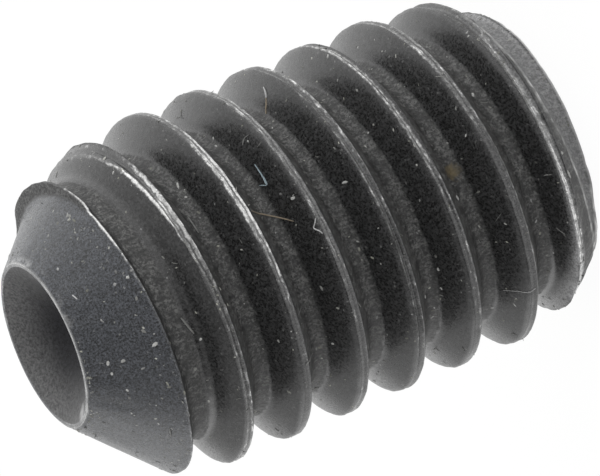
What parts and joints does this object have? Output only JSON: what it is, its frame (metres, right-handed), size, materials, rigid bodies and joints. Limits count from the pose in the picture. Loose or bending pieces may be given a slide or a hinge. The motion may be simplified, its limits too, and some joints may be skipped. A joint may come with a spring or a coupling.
{
  "type": "grub set screw",
  "caption": "Short headless screw with thread all along it, a coned cup point at one end and a hexagon socket in the other.",
  "frame": {"origin": "centre of the socket end face, which the screw stands on", "axes": "+Z along the screw axis towards the cup point; +X has no special meaning on a round part and is the side where the first crest is 0.43 mm above the socket face"},
  "size_m": [0.0038, 0.0038, 0.006],
  "materials": {
    "steel": "black oxide on alloy steel, satin, worn bright on some crests"
  },
  "bodies": {
    "root": {"set_screw": "steel"}
  },
  "joints": []
}
